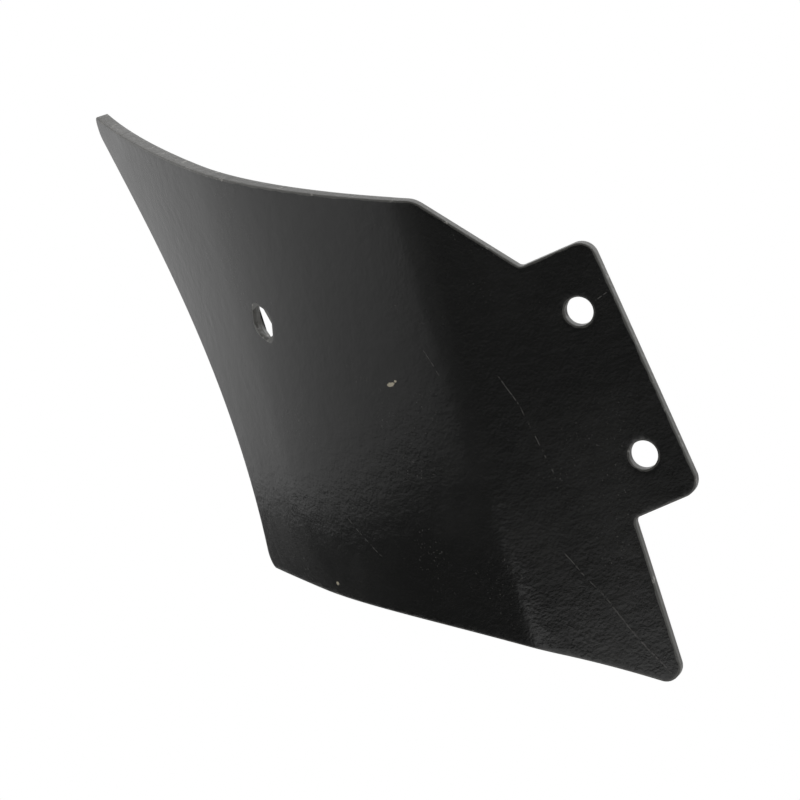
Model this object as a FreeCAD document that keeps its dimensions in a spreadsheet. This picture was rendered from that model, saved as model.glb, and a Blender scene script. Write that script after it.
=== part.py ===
import FreeCAD, Part
import math
import os
import Sketcher

# Bolt-on board of a plough: one 6 mm steel plate, cut to outline, then bent along
# parallel lines.  A flat tongue with two round bolt holes carries a wing that
# turns back through about 67 degrees.  The wing has one square hole for a
# countersunk plough bolt.
#
# Frame: the tongue's outer face lies in the plane Y = 0 and looks towards -Y.
# The origin is on that face, midway between the two bolt holes.  +Z runs along
# the line of the bolt holes, and +X points away from the wing.

NODE = "plough_board"

doc = FreeCAD.newDocument("plough_board")
sheet = doc.addObject("Spreadsheet::Sheet", "sizes")

SIZES = [
    # plate and bends; every radius is that of the outer, convex face
    ("plate_thickness", 6.0, "mm, steel plate"),
    ("bend_lean", 7.0, "deg, bend lines lean from +Z towards +X"),
    ("flat_reach", 62.0, "mm, from the origin to the first bend line"),
    ("first_radius", 50.0, "mm, tight bend beside the tongue"),
    ("first_sweep", 18.0, "deg"),
    ("middle_radius", 220.0, "mm, main curve of the wing"),
    ("middle_sweep", 36.0, "deg"),
    ("tip_radius", 850.0, "mm, almost flat end of the wing"),
    ("tip_sweep", 18.0, "deg, runs past the outline"),
    # outline, as corners in X and Z seen square to the tongue
    ("tongue_edge", 18.5, "mm, X of the tongue's free edge"),
    ("tongue_top", 65.5, "mm, Z of its upper corner"),
    ("tongue_foot", 61.0, "mm, its lower corner below the origin"),
    ("upper_notch_across", 17.0, "mm, notch above the tongue, towards -X"),
    ("upper_notch_height", 65.0, "mm"),
    ("break_across", 50.5, "mm, top edge turns here, towards -X"),
    ("break_height", 112.0, "mm"),
    ("crest_across", 259.0, "mm, top corner of the wing, towards -X"),
    ("crest_height", 195.5, "mm"),
    ("toe_across", 235.0, "mm, lower corner of the wing, towards -X"),
    ("toe_drop", 33.5, "mm, below the origin"),
    ("heel_across", 26.5, "mm, lowest corner, towards -X"),
    ("heel_drop", 143.5, "mm, below the origin"),
    ("lower_notch_across", 16.5, "mm, notch below the tongue, towards -X"),
    ("lower_notch_drop", 61.5, "mm, below the origin"),
    ("foot_hollow", 13.0, "mm, lower edge bows inwards by this"),
    ("wing_hollow", 27.0, "mm, outer edge bows inwards by this"),
    # corners
    ("tongue_round", 8.0, "mm"),
    ("heel_round", 7.0, "mm"),
    ("break_round", 14.0, "mm"),
    ("notch_round", 3.0, "mm"),
    ("wing_round", 7.0, "mm, both outer corners of the wing"),
    # holes
    ("bolt_pitch", 72.0, "mm"),
    ("bolt_hole", 13.5, "mm, clearance for M12"),
    ("square_side", 16.0, "mm, square neck of the plough bolt"),
    ("square_round", 5.0, "mm"),
    ("square_across", 160.5, "mm, its centre on the outer face, towards -X"),
    ("square_height", 82.0, "mm"),
    ("square_turn", 65.0, "deg, from the bend lines, in the plate"),
    ("square_land", 3.0, "mm of straight wall below the outer face"),
    ("sink_radius", 9.3, "mm, countersink where it meets the straight wall"),
    ("sink_angle", 45.0, "deg, its slope to the hole's axis"),
]
for row, (alias, value, note) in enumerate(SIZES, start=1):
    sheet.set("A%d" % row, alias)
    sheet.set("B%d" % row, "%g" % value)
    sheet.set("C%d" % row, "'" + note)
    sheet.setAlias("B%d" % row, alias)
doc.recompute()


def size(alias):
    return float(sheet.get(alias))


def vec(x, y, z=0.0):
    return FreeCAD.Vector(x, y, z)


# ---------------------------------------------------------------- bend lines
# along: direction of every bend line; across: the way the plate runs from the
# tongue to the wing, square to the bend lines; back: the way the wing turns.
lean = math.radians(size("bend_lean"))
along = FreeCAD.Vector(math.sin(lean), 0, math.cos(lean))
across = FreeCAD.Vector(-math.cos(lean), 0, math.sin(lean))
back = FreeCAD.Vector(0, 1, 0)


def frame_matrix(x_dir, y_dir, z_dir, origin):
    return FreeCAD.Matrix(
        x_dir.x, y_dir.x, z_dir.x, origin.x,
        x_dir.y, y_dir.y, z_dir.y, origin.y,
        x_dir.z, y_dir.z, z_dir.z, origin.z,
        0, 0, 0, 1)


# ------------------------------------------------------- profile of the bends
# A straight run and three arcs, each tangent to the one before, drawn square to
# the bend lines: sketch X is across, sketch Y is back.
profile = doc.addObject("Sketcher::SketchObject", "bend_profile")
profile.Placement = FreeCAD.Placement(
    frame_matrix(across, back, across.cross(back), vec(0, 0)))

START = -60.0    # the straight run begins beyond the tongue's free edge
radii = [size("first_radius"), size("middle_radius"), size("tip_radius")]
sweeps = [size("first_sweep"), size("middle_sweep"), size("tip_sweep")]
point = vec(size("flat_reach"), 0)
profile.addGeometry(Part.LineSegment(vec(START, 0), point))
turned = 0.0
for radius, sweep in zip(radii, sweeps):
    begin = math.radians(turned)
    finish = math.radians(turned + sweep)
    centre = point + vec(-math.sin(begin), math.cos(begin)) * radius
    circle = Part.Circle(centre, vec(0, 0, 1), radius)
    profile.addGeometry(
        Part.ArcOfCircle(circle, begin - math.pi / 2, finish - math.pi / 2))
    point = centre + vec(math.sin(finish), -math.cos(finish)) * radius
    turned = turned + sweep

profile.addConstraint(Sketcher.Constraint("PointOnObject", 0, 1, -1))
profile.addConstraint(Sketcher.Constraint("Horizontal", 0))
profile.addConstraint(Sketcher.Constraint("DistanceX", 0, 1, -1, 1, -START))
reach = profile.addConstraint(
    Sketcher.Constraint("DistanceX", -1, 1, 0, 2, size("flat_reach")))
profile.setExpression("Constraints[%d]" % reach, "sizes.flat_reach")
for arc, name in ((1, "first"), (2, "middle"), (3, "tip")):
    profile.addConstraint(Sketcher.Constraint("Tangent", arc - 1, 2, arc, 1))
    index = profile.addConstraint(
        Sketcher.Constraint("Radius", arc, size(name + "_radius")))
    profile.setExpression("Constraints[%d]" % index, "sizes.%s_radius" % name)
    index = profile.addConstraint(
        Sketcher.Constraint("Angle", arc, math.radians(size(name + "_sweep"))))
    profile.setExpression(
        "Constraints[%d]" % index, "sizes.%s_sweep * 1 deg" % name)
doc.recompute()

# The outer face before trimming: the profile drawn out along the bend lines.
skin = doc.addObject("Part::Extrusion", "bent_face")
skin.Base = profile
skin.DirMode = "Custom"
skin.Dir = along
skin.LengthFwd = 320.0
skin.LengthRev = 260.0
skin.Solid = False

# ------------------------------------------------------------------- outline
outline = doc.addObject("PartDesign::Body", "outline")
plane = None
for feature in outline.Origin.OriginFeatures:
    if feature.Role == "XZ_Plane":
        plane = feature
trace = outline.newObject("Sketcher::SketchObject", "outline_trace")
trace.AttachmentSupport = [(plane, "")]
trace.MapMode = "FlatFace"
doc.recompute()

# Corners in order, starting at the wing's top.  Each has its two sizes and the
# signs that place them: across is towards -X, and a drop is below the origin.
CORNERS = [
    ("crest", "crest_across", -1, "crest_height", 1),
    ("break", "break_across", -1, "break_height", 1),
    ("upper_notch", "upper_notch_across", -1, "upper_notch_height", 1),
    ("tongue_head", "tongue_edge", 1, "tongue_top", 1),
    ("tongue_tail", "tongue_edge", 1, "tongue_foot", -1),
    ("lower_notch", "lower_notch_across", -1, "lower_notch_drop", -1),
    ("heel", "heel_across", -1, "heel_drop", -1),
    ("toe", "toe_across", -1, "toe_drop", -1),
]


def corner_point(index):
    name, x_name, x_sign, z_name, z_sign = CORNERS[index]
    return vec(x_sign * size(x_name), z_sign * size(z_name))


def hollow_arc(first, last, rise):
    # Arc from one corner to the next, bowed towards the plate's middle.
    chord = last - first
    inward = vec(chord.y, -chord.x)
    inward.normalize()
    middle = (first + last) * 0.5 + inward * rise
    return Part.Arc(first, middle, last)


count = len(CORNERS)
HOLLOWS = {6: "foot_hollow", 7: "wing_hollow"}
for index in range(count):
    first = corner_point(index)
    last = corner_point((index + 1) % count)
    if index in HOLLOWS:
        trace.addGeometry(hollow_arc(first, last, size(HOLLOWS[index])))
    else:
        trace.addGeometry(Part.LineSegment(first, last))
doc.recompute()

ARC_ENDS = {}
for index in range(count):
    first = corner_point(index)
    starts_here = (trace.getPoint(index, 1) - first).Length < 0.01
    ARC_ENDS[index] = (1, 2) if starts_here else (2, 1)

for index in range(count):
    following = (index + 1) % count
    trace.addConstraint(Sketcher.Constraint(
        "Coincident", index, ARC_ENDS[index][1], following, ARC_ENDS[following][0]))


def place_corner(kind, index, alias, sign):
    # Distance from the origin to a corner along X or Z, bound to the sheet.
    here = (index, ARC_ENDS[index][0])
    ends = (-1, 1) + here if sign > 0 else here + (-1, 1)
    number = trace.addConstraint(Sketcher.Constraint(kind, *ends, size(alias)))
    trace.setExpression("Constraints[%d]" % number, "sizes." + alias)


for index, (name, x_name, x_sign, z_name, z_sign) in enumerate(CORNERS):
    place_corner("DistanceX", index, x_name, x_sign)
    place_corner("DistanceY", index, z_name, z_sign)

# A bow's radius follows from its rise and its chord: chord^2 / 8 rise + rise / 2.
BOWS = [
    (6, "foot_hollow", "sizes.toe_across - sizes.heel_across",
     "sizes.heel_drop - sizes.toe_drop"),
    (7, "wing_hollow", "sizes.crest_across - sizes.toe_across",
     "sizes.crest_height + sizes.toe_drop"),
]
for index, rise, run_x, run_z in BOWS:
    formula = "((%s)^2 + (%s)^2) / 8 / sizes.%s + sizes.%s / 2" % (
        run_x, run_z, rise, rise)
    number = trace.addConstraint(
        Sketcher.Constraint("Radius", index, trace.Geometry[index].Radius))
    trace.setExpression("Constraints[%d]" % number, formula)
doc.recompute()

blank = outline.newObject("PartDesign::Pad", "outline_pad")
blank.Profile = trace
blank.Midplane = True
blank.Length = 640.0
doc.recompute()


def upright_edges(shape, corners):
    # Names of the edges square to the tongue that stand on the given corners.
    names = []
    for number, edge in enumerate(shape.Edges, start=1):
        ends = [vertex.Point for vertex in edge.Vertexes]
        if len(ends) != 2 or abs(ends[0].y - ends[1].y) < 100.0:
            continue
        foot = vec(ends[0].x, ends[0].z)
        for corner in corners:
            if (foot - corner_point(corner)).Length < 0.01:
                names.append("Edge%d" % number)
    return names


base = blank
for name, corners, alias in (
        ("tongue_corners", (3, 4), "tongue_round"),
        ("heel_corner", (6,), "heel_round"),
        ("break_corner", (1,), "break_round"),
        ("notch_corners", (2, 5), "notch_round")):
    rounding = outline.newObject("PartDesign::Fillet", name)
    rounding.Base = (base, upright_edges(base.Shape, corners))
    rounding.Radius = size(alias)
    rounding.setExpression("Radius", "sizes." + alias)
    doc.recompute()
    base = rounding
outline.Tip = base
doc.recompute()

# --------------------------------------------------------------------- plate
# The bent outer face trimmed to the outline, then thickened square to itself
# towards the hollow side, so that every cut edge is square to the plate.
face = doc.addObject("Part::Common", "outer_face")
face.Base = skin
face.Tool = outline
doc.recompute()

sheet_metal = doc.addObject("Part::Offset", "bent_plate")
sheet_metal.Source = face
sheet_metal.Value = -size("plate_thickness")
sheet_metal.setExpression("Value", "-sizes.plate_thickness")
sheet_metal.Mode = "Skin"
sheet_metal.Join = "Arc"
sheet_metal.Fill = True
doc.recompute()


def on_outer_face(x, z):
    # Point of the outer face at X, Z and the angle turned there.
    run = vec(x, 0, z).dot(across)
    u = size("flat_reach")
    depth = 0.0
    begin = 0.0
    if run <= u:
        return FreeCAD.Vector(x, 0, z), 0.0
    for radius, sweep in zip(radii, sweeps):
        sine = math.sin(begin) + (run - u) / radius
        angle = math.asin(min(sine, 1.0))
        angle = min(angle, begin + math.radians(sweep))
        u = u + radius * (math.sin(angle) - math.sin(begin))
        depth = depth + radius * (math.cos(begin) - math.cos(angle))
        begin = angle
        if run - u < 1e-6:
            break
    return FreeCAD.Vector(x, depth, z), begin


# Both outer corners of the wing are rounded about the plate's own thickness.
wing_corners = doc.addObject("Part::Fillet", "wing_corners")
wing_corners.Base = sheet_metal
picked = []
for corner in (0, 7):
    flat_corner = corner_point(corner)
    target, angle = on_outer_face(flat_corner.x, flat_corner.y)
    for number, edge in enumerate(sheet_metal.Shape.Edges, start=1):
        if abs(edge.Length - size("plate_thickness")) > 0.5:
            continue
        if min((v.Point - target).Length for v in edge.Vertexes) < 0.5:
            picked.append((number, size("wing_round"), size("wing_round")))
wing_corners.Edges = picked
doc.recompute()


# --------------------------------------------------------------------- holes
tools = []
for name, side in (("upper_bolt", 0.5), ("lower_bolt", -0.5)):
    drill = doc.addObject("Part::Cylinder", name)
    drill.setExpression("Radius", "sizes.bolt_hole / 2")
    drill.Height = 30.0
    drill.Placement = FreeCAD.Placement(
        vec(0, -10, side * size("bolt_pitch")),
        FreeCAD.Rotation(vec(0, 0, 1), vec(0, 1, 0)))
    drill.setExpression("Placement.Base.z", "%g * sizes.bolt_pitch" % side)
    tools.append(drill)

# Square hole: its axis is square to the plate where it stands.  Tool frames have
# their origin on the outer face and their Z into the plate.
seat, seat_angle = on_outer_face(-size("square_across"), size("square_height"))
outward = across * math.sin(seat_angle) - back * math.cos(seat_angle)
inward = outward * -1.0
turn = math.radians(size("square_turn"))
beside = outward.cross(along)
square_x = along * math.cos(turn) + beside * math.sin(turn)
seat_frame = FreeCAD.Placement(
    frame_matrix(square_x, inward.cross(square_x), inward, seat))

punch = doc.addObject("Part::Box", "square_punch")
punch.setExpression("Length", "sizes.square_side")
punch.setExpression("Width", "sizes.square_side")
punch.Height = 20.0
half = size("square_side") / 2
punch.Placement = seat_frame.multiply(
    FreeCAD.Placement(vec(-half, -half, -10), FreeCAD.Rotation()))
doc.recompute()
punch_rounds = doc.addObject("Part::Fillet", "square_punch_rounded")
punch_rounds.Base = punch
uprights = []
for number, edge in enumerate(punch.Shape.Edges, start=1):
    if abs(edge.Length - 20.0) < 1e-6:
        uprights.append((number, size("square_round"), size("square_round")))
punch_rounds.Edges = uprights
tools.append(punch_rounds)

sink = doc.addObject("Part::Cone", "countersink")
rise = size("plate_thickness") - size("square_land") + 4.0
sink.setExpression("Radius1", "sizes.sink_radius")
sink.setExpression(
    "Radius2",
    "sizes.sink_radius + (sizes.plate_thickness - sizes.square_land + 4)"
    " * tan(sizes.sink_angle * 1 deg)")
sink.setExpression("Height", "sizes.plate_thickness - sizes.square_land + 4")
sink.Placement = seat_frame.multiply(
    FreeCAD.Placement(vec(0, 0, size("square_land")), FreeCAD.Rotation()))
tools.append(sink)
doc.recompute()

cutters = doc.addObject("Part::MultiFuse", "hole_tools")
cutters.Shapes = tools
board = doc.addObject("Part::Cut", NODE)
board.Label = NODE
board.Base = wing_corners
board.Tool = cutters
doc.recompute()

# -------------------------------------------------------------------- checks
for item in doc.Objects:
    for word in ("Invalid", "Error"):
        if word in item.State:
            raise RuntimeError("%s: %s" % (item.Label, item.State))
shape = board.Shape
if shape.isNull() or not shape.isValid():
    raise RuntimeError("the plate's shape isn't valid")
if len(shape.Solids) != 1:
    raise RuntimeError("the plate should be one solid")
expected = face.Shape.Area * size("plate_thickness")
if abs(shape.Volume / expected - 1) > 0.03:
    raise RuntimeError("the plate's volume doesn't match its area")
if shape.BoundBox.YMin < -0.01:
    raise RuntimeError("the plate was thickened the wrong way")

os.makedirs("parts", exist_ok=True)
shape.exportStep("parts/%s.step" % board.Label)
box = shape.BoundBox
print("%s: %d faces, %.1f cm3" % (NODE, len(shape.Faces), shape.Volume / 1000))
print("X %.2f %.2f  Y %.2f %.2f  Z %.2f %.2f" % (
    box.XMin, box.XMax, box.YMin, box.YMax, box.ZMin, box.ZMax))
print("square hole at %.2f %.2f %.2f mm" % tuple(seat))
print("axis, leaving the outer face %.5f %.5f %.5f" % tuple(outward))
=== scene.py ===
"""Plough board: one bent, painted steel plate with a drilled tongue.

The visible plate is built from the same sizes as the CAD plate, with finer
facets and broken edges, in the same frame.  Sizes of the plate are in
millimetres up to bent(), which gives metres.  The tongue's outer face is the
plane Y = 0 and looks towards -Y.
"""
import bmesh
import bpy
import math
from mathutils import Matrix, Vector
from mathutils.geometry import delaunay_2d_cdt


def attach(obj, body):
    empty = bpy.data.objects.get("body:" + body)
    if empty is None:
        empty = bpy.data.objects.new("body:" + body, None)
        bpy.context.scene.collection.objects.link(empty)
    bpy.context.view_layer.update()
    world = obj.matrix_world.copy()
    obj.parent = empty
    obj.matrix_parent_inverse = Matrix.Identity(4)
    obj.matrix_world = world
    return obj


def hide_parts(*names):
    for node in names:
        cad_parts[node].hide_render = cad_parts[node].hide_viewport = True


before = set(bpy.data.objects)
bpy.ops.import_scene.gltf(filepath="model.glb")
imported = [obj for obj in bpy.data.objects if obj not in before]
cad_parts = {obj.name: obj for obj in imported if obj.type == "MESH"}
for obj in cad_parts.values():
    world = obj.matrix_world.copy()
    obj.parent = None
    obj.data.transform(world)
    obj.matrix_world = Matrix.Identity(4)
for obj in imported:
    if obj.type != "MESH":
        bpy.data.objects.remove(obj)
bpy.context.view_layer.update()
NODE = "plough_board"
MM = 0.001

# ------------------------------------------------------------------ the sizes
THICK = 6.0
LEAN = math.radians(7.0)        # of the bend lines from upright
FLAT = 62.0                     # flat reach of the tongue before the first bend
BENDS = [(50.0, 18.0), (220.0, 36.0), (850.0, 18.0)]        # radius, sweep in degrees
# Corners of the outline as (x, z), seen square to the tongue.
CREST = (-259.0, 195.5)
BREAK = (-50.5, 112.0)
UPPER_NOTCH = (-17.0, 65.0)
TONGUE_HEAD = (18.5, 65.5)
TONGUE_TAIL = (18.5, -61.0)
LOWER_NOTCH = (-16.5, -61.5)
HEEL = (-26.5, -143.5)
TOE = (-235.0, -33.5)
FOOT_HOLLOW = 13.0              # how far the two hollow sides bow into the plate
WING_HOLLOW = 27.0
BOLT_HOLES = [(0.0, 36.0), (0.0, -36.0)]
BOLT_RADIUS = 6.75
SQUARE = (-160.5, 82.0)
SQUARE_HALF = 8.0
SQUARE_ROUND = 5.0
SQUARE_TURN = math.radians(65.0)    # from the bend lines
SQUARE_LAND = 3.0               # straight wall before the countersink
SINK_RADIUS = 9.3
SINK_BREAK = 0.2                # the countersink's broken edge starts this deep
SINK_LIP = 0.25                 # and runs out this much wider

# ----------------------------------------------------------------- the facets
BROKEN_EDGE = 0.55              # radius of the painted edges
ARC = [(BROKEN_EDGE * (1 - math.sin(a)), BROKEN_EDGE * (1 - math.cos(a)))
       for a in (math.radians(d) for d in (0, 22.5, 45, 67.5, 90))]     # inset, depth
WALL_SHARES = (0.3, 0.5, 0.7)   # rings between the two broken edges
OUTLINE_STEP = 2.0
CORNER_STEP = 0.7
HOLE_POINTS = 56
GRID = 2.5                      # between the points inside the two faces
ROW_END_GAP = 0.4 * GRID        # a grid point keeps this clear of its row's ends
LOOP_GAP = 0.45 * GRID          # and this clear of every loop point
CELL = 8.0                      # cells in which loop points are looked for
FILLED_OUTLINE = 2              # delaunay_2d_cdt gives triangles over the holes too
CDT_EPSILON = 1e-5
# Triangles whose middle is this near a hole's centre are left out.
BOLT_CLEAR = BOLT_RADIUS + 0.3
SQUARE_CLEAR = SQUARE_HALF
SINK_CLEAR = SINK_RADIUS + 2.0

ALONG = Vector((math.sin(LEAN), 0, math.cos(LEAN)))
ACROSS = Vector((-math.cos(LEAN), 0, math.sin(LEAN)))
BACK = Vector((0, 1, 0))


# ----------------------------------------------- flat pattern and bent plate
# A point of the flat pattern is (s, t): s runs across the bends, t along them.
def to_pattern(x, z):
    """Pattern point of a place on the outer face, seen square to the tongue."""
    point = Vector((x, 0, z))
    run = point.dot(ACROSS)
    t = point.dot(ALONG)
    if run <= FLAT:
        return Vector((run, t))
    s, start, begin = FLAT, FLAT, 0.0
    for radius, sweep in BENDS:
        end = begin + math.radians(sweep)
        reach = radius * (math.sin(end) - math.sin(begin))
        if run - start <= reach:
            angle = math.asin(math.sin(begin) + (run - start) / radius)
            return Vector((s + radius * (angle - begin), t))
        s += radius * (end - begin)
        start += reach
        begin = end
    return Vector((s, t))


def bent(s, t, depth):
    """Place in the row frame, in metres, of a pattern point this far below the outer face."""
    run, drop, angle = s, 0.0, 0.0
    if s > FLAT:
        run, left = FLAT, s - FLAT
        for radius, sweep in BENDS:
            turn = min(left / radius, math.radians(sweep))
            after = angle + turn
            run += radius * (math.sin(after) - math.sin(angle))
            drop += radius * (math.cos(angle) - math.cos(after))
            left -= turn * radius
            angle = after
            if left < 1e-9:
                break
    outward = ACROSS * math.sin(angle) - BACK * math.cos(angle)
    return (ACROSS * run + ALONG * t + BACK * drop - outward * depth) * MM


# ---------------------------------------------------------------- the outline
def straight(first, last, steps=60):
    """Even points from one corner to the next."""
    return [(first[0] + (last[0] - first[0]) * i / steps,
             first[1] + (last[1] - first[1]) * i / steps) for i in range(steps + 1)]


def hollow(first, last, rise, steps=90):
    """Arc between two corners, bowed towards the plate by rise."""
    dx, dz = last[0] - first[0], last[1] - first[1]
    chord = math.hypot(dx, dz)
    inward = (dz / chord, -dx / chord)
    radius = chord * chord / 8 / rise + rise / 2
    points = []
    for x, z in straight(first, last, steps):
        along = math.hypot(x - first[0], z - first[1]) - chord / 2
        bow = math.sqrt(radius * radius - along * along) - (radius - rise)
        points.append((x + inward[0] * bow, z + inward[1] * bow))
    return points


SIDES = [
    straight(CREST, BREAK), straight(BREAK, UPPER_NOTCH), straight(UPPER_NOTCH, TONGUE_HEAD),
    straight(TONGUE_HEAD, TONGUE_TAIL), straight(TONGUE_TAIL, LOWER_NOTCH),
    straight(LOWER_NOTCH, HEEL), hollow(HEEL, TOE, FOOT_HOLLOW), hollow(TOE, CREST, WING_HOLLOW)]
ROUNDS = [7.0, 14.0, 3.0, 8.0, 8.0, 3.0, 7.0, 7.0]      # at the start of each side


def at_distance(line, distance):
    """Point and direction at a distance along a polyline."""
    for a, b in zip(line, line[1:]):
        step = (b - a).length
        if distance <= step:
            return a + (b - a) * (distance / step), (b - a).normalized()
        distance -= step
    return line[-1], (line[-1] - line[-2]).normalized()


def trimmed(line, start, end):
    """The polyline without this much of its start and end, in even steps."""
    total = sum((b - a).length for a, b in zip(line, line[1:]))
    length = total - start - end
    count = max(2, round(length / OUTLINE_STEP))
    return [at_distance(line, start + length * i / count)[0] for i in range(count + 1)]


def corner_cut(before, after, radius):
    """How much of the two sides at a corner its round takes away."""
    cut = radius
    for _ in range(4):          # the sides curve, so their angle depends on the cut
        _, out_way = at_distance(after, cut)
        _, in_way = at_distance(before[::-1], cut)
        inner = math.pi - (-in_way).angle(out_way)
        cut = radius / math.tan(inner / 2)
    return cut


def corner_round(before, after, cut, radius):
    """Points of a corner's round between the two sides, without its two ends."""
    a, back_way = at_distance(before[::-1], cut)
    b, out_way = at_distance(after, cut)
    turn = (-back_way).angle(out_way)
    pull = 4 / 3 * math.tan(turn / 4) * radius
    c1, c2 = a - back_way * pull, b - out_way * pull
    count = max(4, round(turn * radius / CORNER_STEP))
    points = []
    for i in range(1, count):
        f = i / count
        g = 1 - f
        points.append(a * g ** 3 + c1 * (3 * g * g * f) + c2 * (3 * g * f * f) + b * f ** 3)
    return points


def plate_outline():
    """Closed loop of pattern points round the plate, with its corners rounded."""
    lines = [[to_pattern(*p) for p in side] for side in SIDES]
    cuts = [corner_cut(lines[i - 1], lines[i], radius) for i, radius in enumerate(ROUNDS)]
    loop = []
    for i, line in enumerate(lines):
        following = (i + 1) % len(lines)
        loop += trimmed(line, cuts[i], cuts[following])
        loop += corner_round(line, lines[following], cuts[following], ROUNDS[following])
    return loop


# ------------------------------------------------------------------ the holes
def ring(centre, radius):
    """Loop of a round hole."""
    return [centre + Vector((math.cos(a), math.sin(a))) * radius
            for a in (2 * math.pi * i / HOLE_POINTS for i in range(HOLE_POINTS))]


def rounded_square(centre, half, round_, turn):
    """Loop of a rounded square, one point for each of some even directions."""
    loop = []
    for i in range(HOLE_POINTS):
        way = 2 * math.pi * i / HOLE_POINTS
        c, s = abs(math.cos(way)), abs(math.sin(way))
        reach = half / max(c, s)
        x, y = c * reach, s * reach
        core = half - round_
        if x > core and y > core:
            # the ray leaves through a corner: distance to its quarter circle
            b = (c + s) * core
            reach = b + math.sqrt(max(b * b - 2 * core * core + round_ * round_, 0.0))
        way += turn
        loop.append(centre + Vector((math.cos(way), math.sin(way))) * reach)
    return loop


def shrunk(loop, distance):
    """Loop moved to its left-hand side by distance, which is into the plate."""
    count = len(loop)
    moved = []
    for i in range(count):
        way = (loop[(i + 1) % count] - loop[i - 1]).normalized()
        moved.append(loop[i] + Vector((-way.y, way.x)) * distance)
    return moved


# ------------------------------------------------------------- the plate mesh
OUTER, INNER, EDGE = 0, 1, 2        # material slots
vertices = []
faces = []
slots = []          # material slot of each face
rims = []           # distance of each vertex from the nearest cut edge, mm
patterns = []       # pattern point of each vertex


def add_vertex(p, depth, rim):
    """Number of a new vertex below pattern point p."""
    vertices.append(bent(p.x, p.y, depth))
    rims.append(rim)
    patterns.append((p.x, p.y))
    return len(vertices) - 1


def add_wall(stack):
    """Quads between successive rings of vertex numbers."""
    for upper, lower in zip(stack, stack[1:]):
        count = len(upper)
        for i in range(count):
            j = (i + 1) % count
            faces.append((upper[i], lower[i], lower[j], upper[j]))
            slots.append(EDGE)


def edge_stack(loop):
    """Rings of a cut edge from the outer to the inner face, and their line on the faces."""
    rows = list(ARC)
    rows += [(0.0, THICK * share) for share in WALL_SHARES]
    rows += [(inset, THICK - depth) for inset, depth in reversed(ARC)]
    stack = []
    for inset, depth in rows:
        stack.append([add_vertex(p, depth, inset) for p in shrunk(loop, inset)])
    return stack, shrunk(loop, BROKEN_EDGE)


def square_stack(centre):
    """Rings of the square hole and its countersink, and their two lines on the faces."""
    # In the pattern s is ACROSS and t is ALONG, and the turn is from the t axis.
    loop = rounded_square(centre, SQUARE_HALF, SQUARE_ROUND, math.pi / 2 - SQUARE_TURN)
    grown = [centre + (p - centre) * (1 + BROKEN_EDGE / (p - centre).length) for p in loop]
    stack = []
    for inset, depth in ARC:
        line = [a.lerp(b, inset / BROKEN_EDGE) for a, b in zip(loop, grown)]
        stack.append([add_vertex(p, depth, inset) for p in line])
    for depth in (SQUARE_LAND / 2, SQUARE_LAND):
        stack.append([add_vertex(p, depth, 0.0) for p in loop])
    ways = [(p - centre).normalized() for p in loop]
    rise = THICK - SQUARE_LAND      # the countersink widens by as much as it is deep
    mouth = SINK_RADIUS + rise
    for radius, depth in ((SINK_RADIUS, SQUARE_LAND),
                          (SINK_RADIUS + rise / 2, SQUARE_LAND + rise / 2),
                          (mouth - SINK_BREAK, THICK - SINK_BREAK),
                          (mouth + SINK_LIP, THICK)):
        stack.append([add_vertex(centre + way * radius, depth, 0.0) for way in ways])
    return stack, grown, [centre + way * (mouth + SINK_LIP) for way in ways]


def row_ends(points, edges, t):
    """Sorted s of the places where the loops cross a grid row."""
    ends = []
    for a, b in edges:
        pa, pb = points[a], points[b]
        if (pa.y > t) != (pb.y > t):
            ends.append(pa.x + (t - pa.y) * (pb.x - pa.x) / (pb.y - pa.y))
    return sorted(ends)


def grid_inside(points, edges):
    """Grid points inside the loops, each with its distance from the nearest loop point."""
    cells = {}
    for p in points:
        cells.setdefault((int(p.x // CELL), int(p.y // CELL)), []).append(p)
    low, high = min(p.y for p in points), max(p.y for p in points)
    found = []
    for row in range(int((high - low) / GRID) + 1):
        t = low + (row + 0.5) * GRID
        ends = row_ends(points, edges, t)
        for left, right in zip(ends[::2], ends[1::2]):
            first = math.ceil((left + ROW_END_GAP) / GRID)
            last = math.floor((right - ROW_END_GAP) / GRID)
            for column in range(first, last + 1):
                p = Vector((column * GRID, t))
                at_s, at_t = int(p.x // CELL), int(p.y // CELL)
                near = [q for ds in (-1, 0, 1) for dt in (-1, 0, 1)
                        for q in cells.get((at_s + ds, at_t + dt), [])]
                gap = min((p - q).length for q in near) if near else CELL
                if gap >= LOOP_GAP:
                    found.append((p, gap))
    return found


def add_face(loops, holes, depth, slot, flip):
    """One face of the plate: its loops and a grid inside, as even triangles.

    Each hole is a centre and a radius.  Only the middle of a triangle is held
    against it, so thin triangles along a hole's rim stay.
    """
    points = []
    edges = []
    owners = []
    for numbers, loop in loops:
        start = len(points)
        for k, p in enumerate(loop):
            points.append(p)
            owners.append(numbers[k])
            edges.append((start + k, start + (k + 1) % len(loop)))
    for p, gap in grid_inside(points, edges):
        points.append(p)
        owners.append(add_vertex(p, depth, gap + BROKEN_EDGE))
    cut = delaunay_2d_cdt(points, edges, [], FILLED_OUTLINE, CDT_EPSILON)
    places, triangles, originals = cut[0], cut[2], cut[3]
    lookup = [owners[o[0]] for o in originals]
    for triangle in triangles:
        middle = sum((places[i] for i in triangle), Vector((0, 0))) / len(triangle)
        if any((middle - centre).length < radius for centre, radius in holes):
            continue
        numbers = [lookup[i] for i in triangle]
        faces.append(tuple(numbers[::-1]) if flip else tuple(numbers))
        slots.append(slot)


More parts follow.
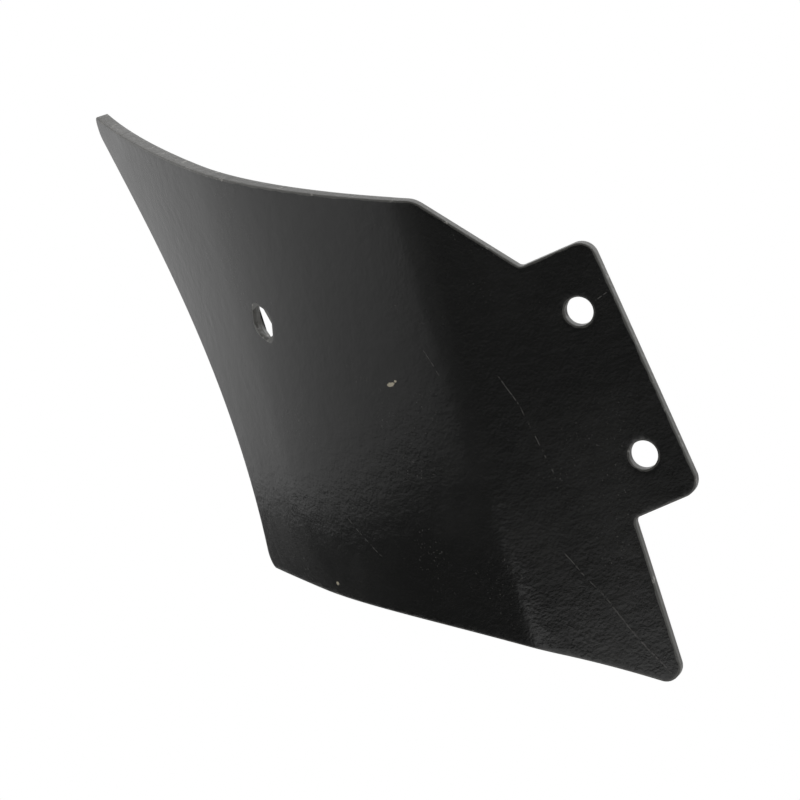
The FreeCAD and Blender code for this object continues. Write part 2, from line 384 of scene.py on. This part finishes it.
def build_faces():
    """The cut edges, the walls of the three holes, and the two faces between them."""
    stack, line = edge_stack(plate_outline())
    add_wall(stack)
    outer_loops = [(stack[0], line)]
    inner_loops = [(stack[-1], line)]
    bolt_holes = [to_pattern(*place) for place in BOLT_HOLES]
    for centre in bolt_holes:
        stack, line = edge_stack(ring(centre, BOLT_RADIUS)[::-1])
        add_wall([numbers[::-1] for numbers in stack])
        outer_loops.append((stack[0], line))
        inner_loops.append((stack[-1], line))
    square = to_pattern(*SQUARE)
    stack, outer_line, inner_line = square_stack(square)
    add_wall(stack)
    outer_loops.append((stack[0], outer_line))
    inner_loops.append((stack[-1], inner_line))
    round_holes = [(centre, BOLT_CLEAR) for centre in bolt_holes]
    add_face(outer_loops, round_holes + [(square, SQUARE_CLEAR)], 0.0, OUTER, False)
    add_face(inner_loops, round_holes + [(square, SINK_CLEAR)], THICK, INNER, True)


build_faces()
mesh = bpy.data.meshes.new("board_plate")
mesh.from_pydata([tuple(v) for v in vertices], [], faces)
mesh.validate()
mesh.update()
bm = bmesh.new()
bm.from_mesh(mesh)
bmesh.ops.recalc_face_normals(bm, faces=bm.faces)
bm.to_mesh(mesh)
bm.free()
mesh.polygons.foreach_set("material_index", slots)
mesh.polygons.foreach_set("use_smooth", [True] * len(mesh.polygons))
attribute = mesh.attributes.new("rim", "FLOAT", "POINT")
attribute.data.foreach_set("value", rims)
uv = mesh.uv_layers.new(name="pattern")
for corner in mesh.loops:
    s, t = patterns[corner.vertex_index]
    uv.data[corner.index].uv = (s * MM, t * MM)
board = bpy.data.objects.new("board_plate", mesh)
bpy.context.scene.collection.objects.link(board)
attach(board, "root")
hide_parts(NODE)


# ------------------------------------------------------------------ materials
class Tree:
    """Short ways to add nodes to one material or world."""

    def __init__(self, owner):
        owner.use_nodes = True
        self.nodes = owner.node_tree.nodes
        self.links = owner.node_tree.links
        self.shader = self.nodes.get("Principled BSDF")

    def feed(self, socket, value):
        if isinstance(value, bpy.types.NodeSocket):
            self.links.new(value, socket)
        else:
            socket.default_value = value

    def coordinates(self, kind):
        return self.nodes.new("ShaderNodeTexCoord").outputs[kind]

    def maths(self, operation, *values, clamp=False):
        node = self.nodes.new("ShaderNodeMath")
        node.operation = operation
        node.use_clamp = clamp
        for socket, value in zip(node.inputs, values):
            self.feed(socket, value)
        return node.outputs[0]

    def vector(self, operation, *values):
        node = self.nodes.new("ShaderNodeVectorMath")
        node.operation = operation
        for socket, value in zip(node.inputs, values):
            self.feed(socket, value)
        return node.outputs["Value" if operation in ("DOT_PRODUCT", "LENGTH") else "Vector"]

    def noise(self, where, scale, detail=2.0, rough=0.5):
        node = self.nodes.new("ShaderNodeTexNoise")
        node.inputs["Scale"].default_value = scale
        node.inputs["Detail"].default_value = detail
        node.inputs["Roughness"].default_value = rough
        self.links.new(where, node.inputs["Vector"])
        return node.outputs["Fac"]

    def ramp(self, value, low, high, to_low=0.0, to_high=1.0):
        node = self.nodes.new("ShaderNodeMapRange")
        node.interpolation_type = "SMOOTHSTEP"
        self.feed(node.inputs["Value"], value)
        node.inputs["From Min"].default_value = low
        node.inputs["From Max"].default_value = high
        node.inputs["To Min"].default_value = to_low
        node.inputs["To Max"].default_value = to_high
        return node.outputs["Result"]

    def mix(self, factor, first, second):
        node = self.nodes.new("ShaderNodeMix")
        node.data_type = "RGBA"
        self.feed(node.inputs["Factor"], factor)
        self.feed(node.inputs["A"], first)
        self.feed(node.inputs["B"], second)
        return node.outputs["Result"]

    def bump(self, height, distance, strength, below=None):
        node = self.nodes.new("ShaderNodeBump")
        node.inputs["Strength"].default_value = strength
        node.inputs["Distance"].default_value = distance
        self.links.new(height, node.inputs["Height"])
        if below is not None:
            self.links.new(below, node.inputs["Normal"])
        return node.outputs["Normal"]

    def mix_shaders(self, share, first, second, output):
        node = self.nodes.new("ShaderNodeMixShader")
        self.feed(node.inputs[0], share)
        self.links.new(first.outputs[0], node.inputs[1])
        self.links.new(second.outputs[0], node.inputs[2])
        self.links.new(node.outputs[0], output.inputs["Surface"])


PAINT = (0.0095, 0.0098, 0.0092, 1)
RUBBED = (0.050, 0.049, 0.045, 1)           # film of dust on the paint
# Paint rubbed thin along the broken edges, made lighter still as a painted highlight along them.
EDGE_WEAR_AND_HIGHLIGHT = (0.11, 0.108, 0.10, 1)         # along the broken edges
SCRATCHED = (0.16, 0.155, 0.145, 1)
STEEL = (0.30, 0.29, 0.27, 1)
CHIPPED = (0.52, 0.47, 0.36, 1)
SHINE = 0.17                                # roughness of the clean paint
# Scratches of the outer face: ends in the flat pattern (mm), width, gaps.
SCRATCHES = [
    ((82.1, 37.3), (77.7, 23.7), 0.22, 0.10),
    ((50.5, 17.5), (44.5, 1.6), 0.30, 0.10),
    ((44.5, 1.6), (38.6, -34.0), 0.28, 0.04),
    ((167.8, -33.2), (148.1, -55.0), 0.30, 0.05),
    ((45.9, -69.6), (34.7, -90.9), 0.25, 0.10),
    ((34.7, -90.9), (23.3, -117.7), 0.30, 0.10),
    ((23.3, -117.7), (13.9, -137.2), 0.35, 0.12),
    ((-4.3, 38.8), (-11.1, 41.2), 0.30, 0.10),
]
WAVER = 2.2 * MM                            # a scratch strays this much from its line
# Chips of the outer face: middle in the flat pattern (mm), half-length, half-width.
CHIPS = [((106.6, 24.5), 2.6, 1.1), ((103.4, 25.6), 0.9, 0.6), ((195.6, -66.3), 1.6, 1.0)]


def scratch(tree, pattern, first, last, width, breaks):
    """Mask of one scratch: near the line between two pattern points, in mm."""
    a = Vector((first[0], first[1], 0)) * MM
    b = Vector((last[0], last[1], 0)) * MM
    way = (b - a).normalized()
    from_a = tree.vector("SUBTRACT", pattern, tuple(a))
    along = tree.vector("DOT_PRODUCT", from_a, tuple(way))
    aside = tree.vector("DOT_PRODUCT", from_a, (-way.y, way.x, 0.0))
    waver = tree.maths("MULTIPLY", tree.maths("SUBTRACT", tree.noise(pattern, 55.0), 0.5), WAVER)
    off = tree.maths("ABSOLUTE", tree.maths("ADD", aside, waver))
    line = tree.ramp(off, width * MM * 0.5, width * MM, 1.0, 0.0)
    length = (b - a).length
    middle = tree.maths("ABSOLUTE", tree.maths("SUBTRACT", along, length / 2))
    inside = tree.ramp(middle, length * 0.42, length * 0.5, 1.0, 0.0)
    broken = tree.ramp(tree.noise(pattern, 420.0, 3.0), 0.5 - breaks, 0.62 - breaks)
    return tree.maths("MULTIPLY", tree.maths("MULTIPLY", line, inside), broken)


def chip(tree, pattern, middle, half_length, half_width):
    """Mask of a spot where the paint has come off, with a ragged outline."""
    offset = tree.vector("SUBTRACT", pattern, (middle[0] * MM, middle[1] * MM, 0.0))
    scaled = tree.vector("MULTIPLY", offset, (1 / (half_length * MM), 1 / (half_width * MM), 0.0))
    ragged = tree.maths("MULTIPLY", tree.noise(pattern, 900.0, 3.0), 0.9)
    reach = tree.maths("ADD", tree.vector("LENGTH", scaled), ragged)
    return tree.ramp(reach, 1.25, 1.4, 1.0, 0.0)


def orange_peel(tree, place, depth):
    """Normal of small round swells of the paint, with a longer wave below them."""
    peel = tree.noise(place, 620.0, 2.0, 0.5)
    wave = tree.noise(place, 150.0, 1.0, 0.4)
    return tree.bump(peel, 0.00028, depth, tree.bump(wave, 0.0004, depth))


def specks(tree, place):
    """Mask of fine light specks, in patches."""
    speck = tree.ramp(tree.noise(place, 900.0, 2.0, 0.5), 0.66, 0.72)
    where = tree.ramp(tree.noise(place, 22.0, 3.0, 0.6), 0.50, 0.66)
    return tree.maths("MULTIPLY", speck, where)


def rubbed_and_highlit_edge(tree, place, edge_reach):
    """Mask of the paint rubbed thin along the rim, which also carries a painted highlight there, up
    to about edge_reach mm from it.
    """
    rim = tree.nodes.new("ShaderNodeAttribute")
    rim.attribute_name = "rim"
    reach = tree.maths("MULTIPLY", tree.noise(place, 120.0, 4.0, 0.6), edge_reach)
    past = tree.maths("SUBTRACT", rim.outputs["Fac"], reach)
    return tree.ramp(past, -0.35, 0.15, 1.0, 0.0)


def painted(name, edge_reach, peel_depth, scratches=(), chips=()):
    """Black gloss paint with its dust, specks, rubbed edges with a painted highlight on them,
    scratches and chips.
    """
    material = bpy.data.materials.new(name)
    tree = Tree(material)
    place = tree.coordinates("Object")
    pattern_node = tree.nodes.new("ShaderNodeUVMap")
    pattern_node.uv_map = "pattern"
    pattern = pattern_node.outputs["UV"]

    haze = tree.ramp(tree.noise(place, 14.0, 4.0, 0.6), 0.42, 0.72)
    edge = rubbed_and_highlit_edge(tree, place, edge_reach)
    bare = tree.ramp(tree.noise(place, 210.0, 4.0, 0.65), 0.60, 0.68)
    bare = tree.maths("MULTIPLY", bare, edge)
    marks = specks(tree, place)
    for first, last, width, breaks in scratches:
        marks = tree.maths("MAXIMUM", marks, scratch(tree, pattern, first, last, width, breaks))

    colour = tree.mix(tree.maths("MULTIPLY", haze, 0.12), PAINT, RUBBED)
    # Lighter paint along the rims: partly thin, rubbed paint and partly a painted highlight.
    colour = tree.mix(tree.maths("MULTIPLY", edge, 0.8), colour, EDGE_WEAR_AND_HIGHLIGHT)
    colour = tree.mix(tree.maths("MULTIPLY", marks, 0.5), colour, SCRATCHED)
    colour = tree.mix(bare, colour, STEEL)
    if chips:
        chipped = 0.0
        for middle, half_length, half_width in chips:
            spot = chip(tree, pattern, middle, half_length, half_width)
            chipped = tree.maths("MAXIMUM", spot, chipped)
        colour = tree.mix(chipped, colour, CHIPPED)
    tree.feed(tree.shader.inputs["Base Color"], colour)

    rough = tree.maths("ADD", SHINE, tree.maths("MULTIPLY", haze, 0.07))
    rough = tree.maths("ADD", rough, tree.maths("MULTIPLY", edge, 0.12))
    rough = tree.maths("ADD", rough, tree.maths("MULTIPLY", marks, 0.25), clamp=True)
    tree.feed(tree.shader.inputs["Roughness"], rough)
    tree.links.new(orange_peel(tree, place, peel_depth), tree.shader.inputs["Normal"])
    return material


mesh.materials.append(painted("paint_outer", 2.0, 0.35, SCRATCHES, CHIPS))
mesh.materials.append(painted("paint_inner", 2.0, 0.35))
mesh.materials.append(painted("paint_edge", 3.0, 0.9))

# ------------------------------------------------------------------ the view
# The studio's own directions, all in metres from here on: VIEW_BACK points from
# the board to the camera.
VIEW_BACK = Vector((0.306197, -0.947443, 0.092706)).normalized()
SIDEWAYS = Vector((0.878842, 0.243903, -0.410058))
RIGHT = (SIDEWAYS - VIEW_BACK * SIDEWAYS.dot(VIEW_BACK)).normalized()
UP = VIEW_BACK.cross(RIGHT)
MIDDLE = Vector((-0.08718, -0.02499, 0.03255))
CAMERA_DISTANCE = 5.0
CAMERA_LENS = 494.38
CAMERA_SENSOR = 36.0


def studio_place(right, up, back):
    """Place this far right of, above and in front of the board's middle."""
    return MIDDLE + RIGHT * right + UP * up + VIEW_BACK * back


def facing(right, up, back, place):
    """Matrix of a camera or lamp at a place, looking away from back."""
    turn = Matrix((right, up, back)).transposed().to_4x4()
    return Matrix.Translation(place) @ turn


camera_data = bpy.data.cameras.new("camera")
camera = bpy.data.objects.new("camera", camera_data)
bpy.context.scene.collection.objects.link(camera)
camera_data.sensor_width = CAMERA_SENSOR
camera_data.lens = CAMERA_LENS
camera_data.clip_start = 0.1
camera_data.clip_end = 200.0
camera.matrix_world = facing(RIGHT, UP, VIEW_BACK, MIDDLE + VIEW_BACK * CAMERA_DISTANCE)
bpy.context.scene.camera = camera

# ------------------------------------------------------------------ the light
# Each soft lamp: name, place and aim as (right, up, back), size, radiance.
LAMPS = [
    ("key", (1.5, 1.5, 1.6), (0, 0, 0), (0.8, 0.8), 8.0),
    ("top", (0.1, 2.2, 0.2), (0, 0, 0), (1.8, 1.8), 1.4),
    ("low", (-0.066, -0.452, 0.30), (0.117, -0.297, -0.018), (0.5, 0.3), 0.8),
    ("right", (1.7, 0.8, 0.1), (0, 0, 0), (1.4, 1.4), 1.1),
]


def add_lamp(name, stand, aim, size, radiance):
    """Soft rectangular lamp that the camera doesn't see."""
    data = bpy.data.lights.new(name, "AREA")
    data.shape = "RECTANGLE"
    data.size, data.size_y = size
    data.energy = radiance * math.pi * size[0] * size[1]
    lamp = bpy.data.objects.new(name, data)
    bpy.context.scene.collection.objects.link(lamp)
    place = studio_place(*stand)
    away = (place - studio_place(*aim)).normalized()
    level = UP.cross(away).normalized()
    lamp.matrix_world = facing(level, away.cross(level), away, place)
    lamp.visible_camera = False


for lamp_values in LAMPS:
    add_lamp(*lamp_values)

# A tall soft panel stands close on the board's curved side.  It is fullest at
# the top, thins out towards the front, and stops short of the board's foot.
PANEL_LEFT = -0.34
PANEL_FRONT, PANEL_END = 0.75, -1.0
PANEL_FOOT_FRONT, PANEL_FOOT_END, PANEL_TOP = -0.258, -0.125, 0.70


def panel_glow():
    """Glow of the soft panel, by height and by distance towards the camera."""
    material = bpy.data.materials.new("soft_panel")
    tree = Tree(material)
    spot = tree.vector("SUBTRACT", tree.coordinates("Object"), tuple(MIDDLE))
    up = tree.vector("DOT_PRODUCT", spot, tuple(UP))
    back = tree.vector("DOT_PRODUCT", spot, tuple(VIEW_BACK))
    glow = tree.ramp(up, -0.20, -0.01, 0.46, 0.80)
    glow = tree.maths("MULTIPLY", glow, tree.ramp(back, 0.0, 0.28, 1.0, 0.42))
    glow = tree.maths("MULTIPLY", glow, tree.ramp(back, 0.28, 0.75, 1.0, 0.35))
    glow = tree.maths("MULTIPLY", glow, tree.ramp(back, -0.55, -0.15, 0.70, 1.0))
    light = tree.nodes.new("ShaderNodeEmission")
    tree.feed(light.inputs["Strength"], glow)
    tree.links.new(light.outputs[0], tree.nodes["Material Output"].inputs["Surface"])
    return material


panel_mesh = bpy.data.meshes.new("soft_panel")
panel_corners = [(PANEL_END, PANEL_FOOT_END), (PANEL_FRONT, PANEL_FOOT_FRONT),
                 (PANEL_FRONT, PANEL_TOP), (PANEL_END, PANEL_TOP)]
panel_mesh.from_pydata(
    [tuple(studio_place(PANEL_LEFT, up, back)) for back, up in panel_corners],
    [], [(0, 1, 2, 3)])
panel = bpy.data.objects.new("soft_panel", panel_mesh)
bpy.context.scene.collection.objects.link(panel)
panel.visible_camera = False
panel.visible_shadow = False
panel_mesh.materials.append(panel_glow())

# The camera sees white.  The board sees a room that is white behind, above and
# to the right, and dim in front and below.
ROOM_BRIGHT_WAY = (RIGHT * 0.5 + UP * 0.4 - VIEW_BACK * 0.77).normalized()
ROOM_DIM, ROOM_WHITE = 0.07, 1.0


def studio_world():
    """White for the camera, and the room for everything else."""
    world = bpy.data.worlds.new("studio")
    bpy.context.scene.world = world
    tree = Tree(world)
    tree.nodes.clear()
    output = tree.nodes.new("ShaderNodeOutputWorld")
    room = tree.nodes.new("ShaderNodeBackground")
    seen = tree.nodes.new("ShaderNodeBackground")
    seen.inputs["Color"].default_value = (1, 1, 1, 1)
    seen.inputs["Strength"].default_value = 1.0
    rays = tree.nodes.new("ShaderNodeLightPath")
    tree.mix_shaders(rays.outputs["Is Camera Ray"], room, seen, output)
    behind = tree.vector("DOT_PRODUCT", tree.coordinates("Generated"), tuple(ROOM_BRIGHT_WAY))
    spread = tree.ramp(behind, 0.36, 0.85, ROOM_DIM, ROOM_WHITE)
    tree.feed(room.inputs["Strength"], spread)


studio_world()

FLOOR_LEVEL = -0.45
FLOOR_HALF = 4.0
FLOOR_PLAIN, FLOOR_GONE = 0.7, 1.7      # the floor fades to white between these


def floor_paint():
    """Pale floor that runs out into the white of the room, away from the board."""
    material = bpy.data.materials.new("floor")
    tree = Tree(material)
    tree.shader.inputs["Base Color"].default_value = (0.85, 0.85, 0.85, 1)
    tree.shader.inputs["Roughness"].default_value = 0.9
    distance = tree.vector("LENGTH", tree.coordinates("Object"))
    white = tree.nodes.new("ShaderNodeEmission")
    white.inputs["Strength"].default_value = 1.0
    rays = tree.nodes.new("ShaderNodeLightPath")
    share = tree.ramp(distance, FLOOR_PLAIN, FLOOR_GONE)
    share = tree.maths("MULTIPLY", share, rays.outputs["Is Camera Ray"])
    tree.mix_shaders(share, tree.shader, white, tree.nodes["Material Output"])
    return material


floor_mesh = bpy.data.meshes.new("floor")
floor_mesh.from_pydata(
    [(x * FLOOR_HALF, y * FLOOR_HALF, FLOOR_LEVEL) for x, y in ((-1, -1), (1, -1), (1, 1), (-1, 1))],
    [], [(0, 1, 2, 3)])
floor = bpy.data.objects.new("floor", floor_mesh)
bpy.context.scene.collection.objects.link(floor)
floor_mesh.materials.append(floor_paint())

bpy.context.scene.view_settings.view_transform = "Standard"
